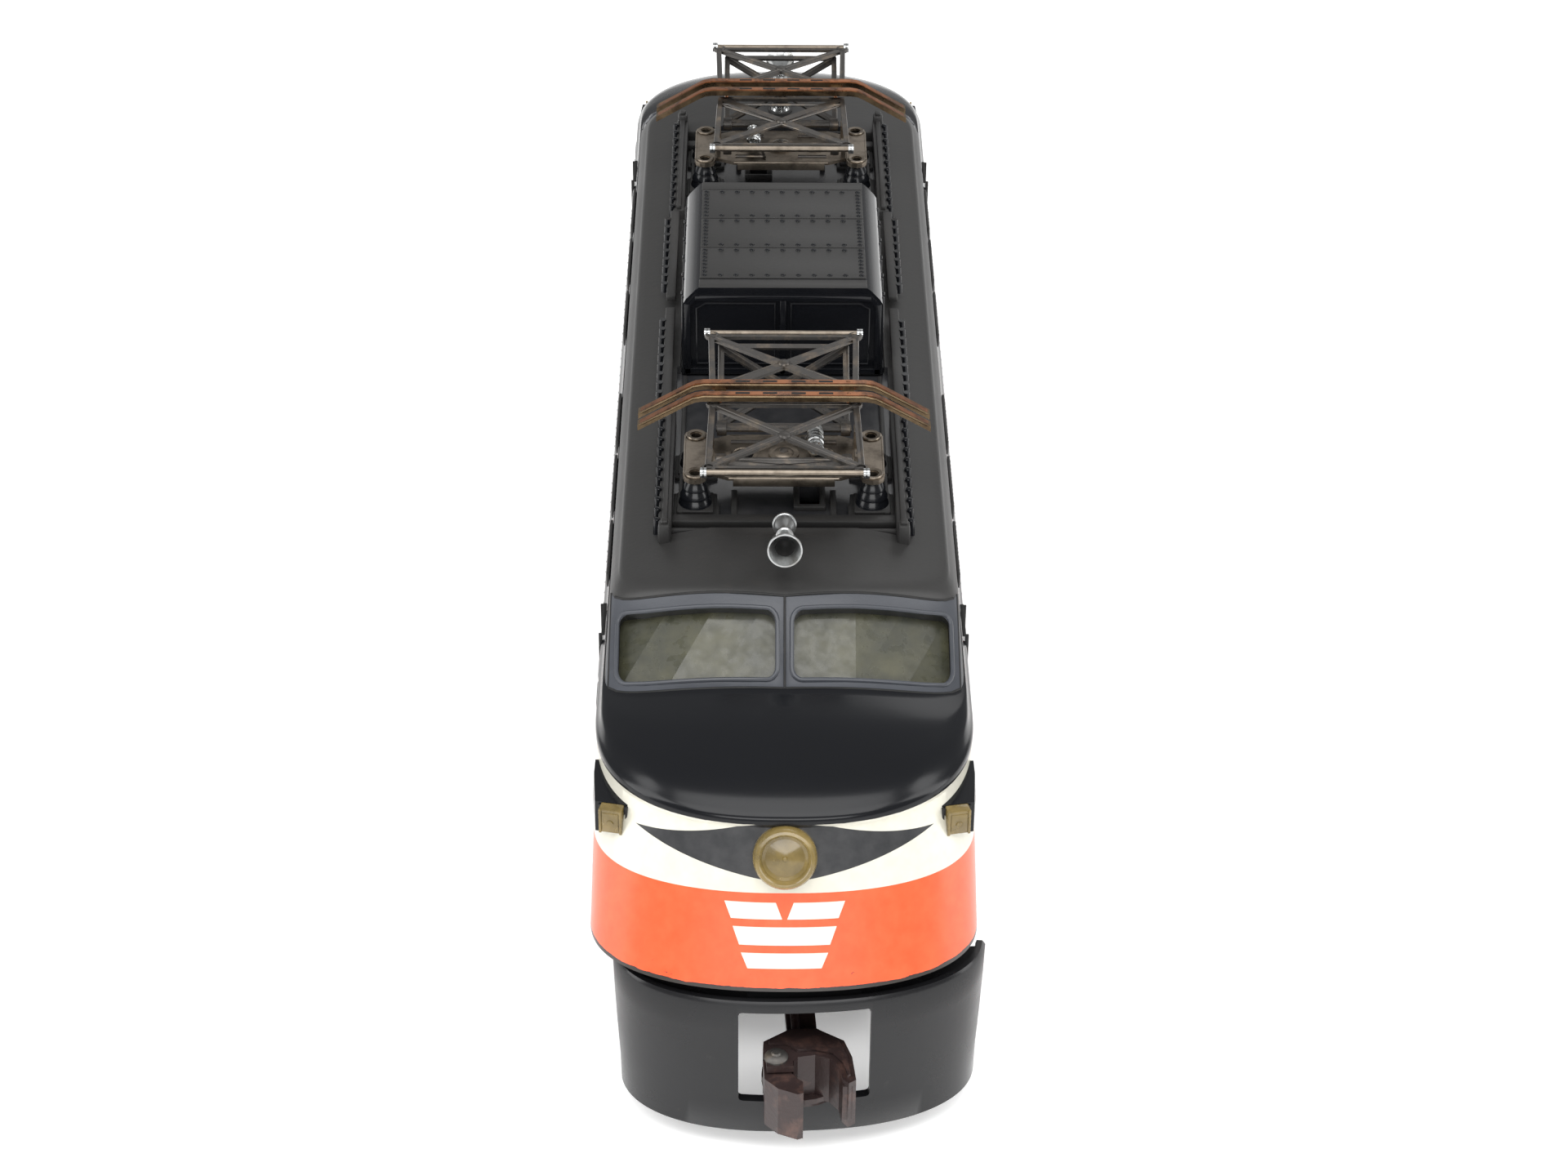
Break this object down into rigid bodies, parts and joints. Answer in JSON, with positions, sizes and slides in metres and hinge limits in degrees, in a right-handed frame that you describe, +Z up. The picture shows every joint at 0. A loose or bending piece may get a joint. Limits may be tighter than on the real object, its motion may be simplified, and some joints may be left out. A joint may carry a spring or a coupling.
{
  "type": "model electric locomotive",
  "caption": "O gauge model electric locomotive: moulded shell with a roof hatch, raising pantographs, swivelling trucks, spinning wheels, knuckle couplers and a geared motor.",
  "frame": {"origin": "on the supporting surface under the wheel flanges, at the middle of the locomotive's plan", "axes": "-Y towards the front end, +X to the right of someone looking along +Y, +Z up"},
  "size_m": [0.0646, 0.311, 0.091],
  "materials": {
    "black_moulding": "satin black moulding with painted bands",
    "amber": "translucent amber moulding",
    "zinc": "worn zinc plate",
    "nickel": "tarnished nickel plate",
    "dark_steel": "blackened steel",
    "copper": "copper plate with dark edges",
    "black_paint": "satin black paint",
    "cast_iron": "blackened casting",
    "coupler_brown": "blackened casting, brown tinge",
    "battery_wrap": "printed steel jacket, plain",
    "brass": "plain brass"
  },
  "bodies": {
    "body": {"body_shell": "black_moulding", "roof_hatch": "black_moulding", "chassis_frame": "black_paint", "underframe_tank": "black_paint", "battery": "battery_wrap", "battery_clip": "brass", "reverse_unit": "zinc", "horn_unit": "dark_steel", "windshield_front": "amber", "headlight_lens_front": "amber", "marker_lens_front_left": "amber", "marker_lens_front_right": "amber", "horn_front": "zinc", "lamp_front": "brass", "shell_screw_front": "zinc", "panto_front_base": "nickel", "panto_front_spring": "zinc", "windshield_rear": "amber", "headlight_lens_rear": "amber", "marker_lens_rear_left": "amber", "marker_lens_rear_right": "amber", "horn_rear": "zinc", "lamp_rear": "brass", "shell_screw_rear": "zinc", "panto_rear_base": "nickel", "panto_rear_spring": "zinc"},
    "reverse_lever": {"reverse_lever": "zinc"},
    "panto_front_outer_lower": {"panto_front_outer_lower_arm": "dark_steel", "panto_front_outer_knee_rod": "zinc"},
    "panto_front_outer_upper": {"panto_front_outer_upper_arm": "dark_steel"},
    "panto_front_inner_lower": {"panto_front_inner_lower_arm": "dark_steel", "panto_front_inner_knee_rod": "zinc"},
    "panto_front_inner_upper": {"panto_front_inner_upper_arm": "dark_steel"},
    "panto_front_head": {"panto_front_collector_head": "copper"},
    "panto_rear_outer_lower": {"panto_rear_outer_lower_arm": "dark_steel", "panto_rear_outer_knee_rod": "zinc"},
    "panto_rear_outer_upper": {"panto_rear_outer_upper_arm": "dark_steel"},
    "panto_rear_inner_lower": {"panto_rear_inner_lower_arm": "dark_steel", "panto_rear_inner_knee_rod": "zinc"},
    "panto_rear_inner_upper": {"panto_rear_inner_upper_arm": "dark_steel"},
    "panto_rear_head": {"panto_rear_collector_head": "copper"},
    "truck_front": {"truck_front_frame": "cast_iron", "truck_front_side_frame_left": "cast_iron", "truck_front_side_frame_right": "cast_iron", "truck_front_pilot": "black_paint", "pickup_shoe": "brass"},
    "truck_front_lead_axle": {"truck_front_wheelset_lead": "cast_iron"},
    "truck_front_trail_axle": {"truck_front_wheelset_trail": "cast_iron"},
    "truck_front_coupler": {"truck_front_coupler": "coupler_brown"},
    "truck_front_knuckle": {"truck_front_knuckle": "coupler_brown"},
    "truck_rear": {"truck_rear_frame": "cast_iron", "truck_rear_side_frame_left": "cast_iron", "truck_rear_side_frame_right": "cast_iron", "truck_rear_pilot": "black_paint", "motor_frame": "dark_steel"},
    "truck_rear_lead_axle": {"truck_rear_wheelset_lead": "cast_iron"},
    "truck_rear_trail_axle": {"truck_rear_wheelset_trail": "cast_iron"},
    "truck_rear_coupler": {"truck_rear_coupler": "coupler_brown"},
    "truck_rear_knuckle": {"truck_rear_knuckle": "coupler_brown"},
    "armature": {"motor_armature": "copper"}
  },
  "joints": [
    {"name": "reverse_lever_swing", "type": "hinge", "parent": "body", "child": "reverse_lever", "pos_m": [0.0044, -0.0627, 0.05], "axis": [1, 0, 0], "range_deg": [-12, 12]},
    {"name": "panto_front_outer_lower_lift", "type": "hinge", "parent": "body", "child": "panto_front_outer_lower", "pos_m": [0, -0.0655, 0.0796], "axis": [-1, 0, 0], "range_deg": [0, 38]},
    {"name": "panto_front_outer_upper_fold", "type": "hinge", "parent": "panto_front_outer_lower", "child": "panto_front_outer_upper", "pos_m": [0, -0.0834, 0.0882], "axis": [1, 0, 0], "range_deg": [0, 89.87]},
    {"name": "panto_front_inner_lower_lift", "type": "hinge", "parent": "body", "child": "panto_front_inner_lower", "pos_m": [0, -0.0545, 0.0796], "axis": [1, 0, 0], "range_deg": [0, 38]},
    {"name": "panto_front_inner_upper_fold", "type": "hinge", "parent": "panto_front_inner_lower", "child": "panto_front_inner_upper", "pos_m": [0, -0.0366, 0.0882], "axis": [-1, 0, 0], "range_deg": [0, 89.87]},
    {"name": "panto_front_head_level", "type": "hinge", "parent": "panto_front_outer_upper", "child": "panto_front_head", "pos_m": [0, -0.0612, 0.0893], "axis": [-1, 0, 0], "range_deg": [0, 51.87]},
    {"name": "panto_rear_outer_lower_lift", "type": "hinge", "parent": "body", "child": "panto_rear_outer_lower", "pos_m": [0, 0.0655, 0.0796], "axis": [1, 0, 0], "range_deg": [0, 38]},
    {"name": "panto_rear_outer_upper_fold", "type": "hinge", "parent": "panto_rear_outer_lower", "child": "panto_rear_outer_upper", "pos_m": [0, 0.0834, 0.0882], "axis": [-1, 0, 0], "range_deg": [0, 89.87]},
    {"name": "panto_rear_inner_lower_lift", "type": "hinge", "parent": "body", "child": "panto_rear_inner_lower", "pos_m": [0, 0.0545, 0.0796], "axis": [-1, 0, 0], "range_deg": [0, 38]},
    {"name": "panto_rear_inner_upper_fold", "type": "hinge", "parent": "panto_rear_inner_lower", "child": "panto_rear_inner_upper", "pos_m": [0, 0.0366, 0.0882], "axis": [1, 0, 0], "range_deg": [0, 89.87]},
    {"name": "panto_rear_head_level", "type": "hinge", "parent": "panto_rear_outer_upper", "child": "panto_rear_head", "pos_m": [0, 0.0612, 0.0893], "axis": [1, 0, 0], "range_deg": [0, 51.87]},
    {"name": "truck_front_swivel", "type": "hinge", "parent": "body", "child": "truck_front", "pos_m": [0, -0.088, 0.032], "axis": [0, 0, 1], "range_deg": [-14, 8]},
    {"name": "truck_front_lead_axle_spin", "type": "hinge", "parent": "truck_front", "child": "truck_front_lead_axle", "pos_m": [0.00128, -0.11096, 0.0117], "axis": [0.9984, 0.0558, 0], "continuous": true},
    {"name": "truck_front_trail_axle_spin", "type": "hinge", "parent": "truck_front", "child": "truck_front_trail_axle", "pos_m": [-0.00128, -0.06504, 0.0117], "axis": [0.9984, 0.0558, 0], "continuous": true},
    {"name": "truck_front_drawbar_swing", "type": "hinge", "parent": "truck_front", "child": "truck_front_coupler", "pos_m": [0.00089, -0.10398, 0.0175], "axis": [0, 0, 1], "range_deg": [-3, 3]},
    {"name": "truck_front_knuckle_open", "type": "hinge", "parent": "truck_front_coupler", "child": "truck_front_knuckle", "pos_m": [-0.00121, -0.14876, 0.015], "axis": [0, 0, -1], "range_deg": [0, 35]},
    {"name": "truck_rear_swivel", "type": "hinge", "parent": "body", "child": "truck_rear", "pos_m": [0, 0.088, 0.032], "axis": [0, 0, 1], "range_deg": [-14, 8]},
    {"name": "truck_rear_lead_axle_spin", "type": "hinge", "parent": "truck_rear", "child": "truck_rear_lead_axle", "pos_m": [-0.00128, 0.11096, 0.0117], "axis": [-0.9984, -0.0558, 0], "continuous": true},
    {"name": "truck_rear_trail_axle_spin", "type": "hinge", "parent": "truck_rear", "child": "truck_rear_trail_axle", "pos_m": [0.00128, 0.06504, 0.0117], "axis": [-0.9984, -0.0558, 0], "continuous": true},
    {"name": "truck_rear_drawbar_swing", "type": "hinge", "parent": "truck_rear", "child": "truck_rear_coupler", "pos_m": [-0.00089, 0.10398, 0.0175], "axis": [0, 0, 1], "range_deg": [-3, 3]},
    {"name": "truck_rear_knuckle_open", "type": "hinge", "parent": "truck_rear_coupler", "child": "truck_rear_knuckle", "pos_m": [0.00121, 0.14876, 0.015], "axis": [0, 0, -1], "range_deg": [0, 35]},
    {"name": "armature_spin", "type": "hinge", "parent": "truck_rear", "child": "armature", "pos_m": [0.00078, 0.07412, 0.04], "axis": [0, 0, 1], "continuous": true}
  ],
  "couplings": [
    {"joint": "panto_front_inner_lower_lift", "follows": "panto_front_outer_lower_lift", "ratio": 1},
    {"joint": "panto_front_outer_upper_fold", "follows": "panto_front_outer_lower_lift", "ratio": 2.365},
    {"joint": "panto_front_inner_upper_fold", "follows": "panto_front_outer_lower_lift", "ratio": 2.365},
    {"joint": "panto_front_head_level", "follows": "panto_front_outer_lower_lift", "ratio": 1.365},
    {"joint": "panto_rear_inner_lower_lift", "follows": "panto_rear_outer_lower_lift", "ratio": 1},
    {"joint": "panto_rear_outer_upper_fold", "follows": "panto_rear_outer_lower_lift", "ratio": 2.365},
    {"joint": "panto_rear_inner_upper_fold", "follows": "panto_rear_outer_lower_lift", "ratio": 2.365},
    {"joint": "panto_rear_head_level", "follows": "panto_rear_outer_lower_lift", "ratio": 1.365},
    {"joint": "truck_rear_trail_axle_spin", "follows": "armature_spin", "ratio": 0.071429}
  ]
}
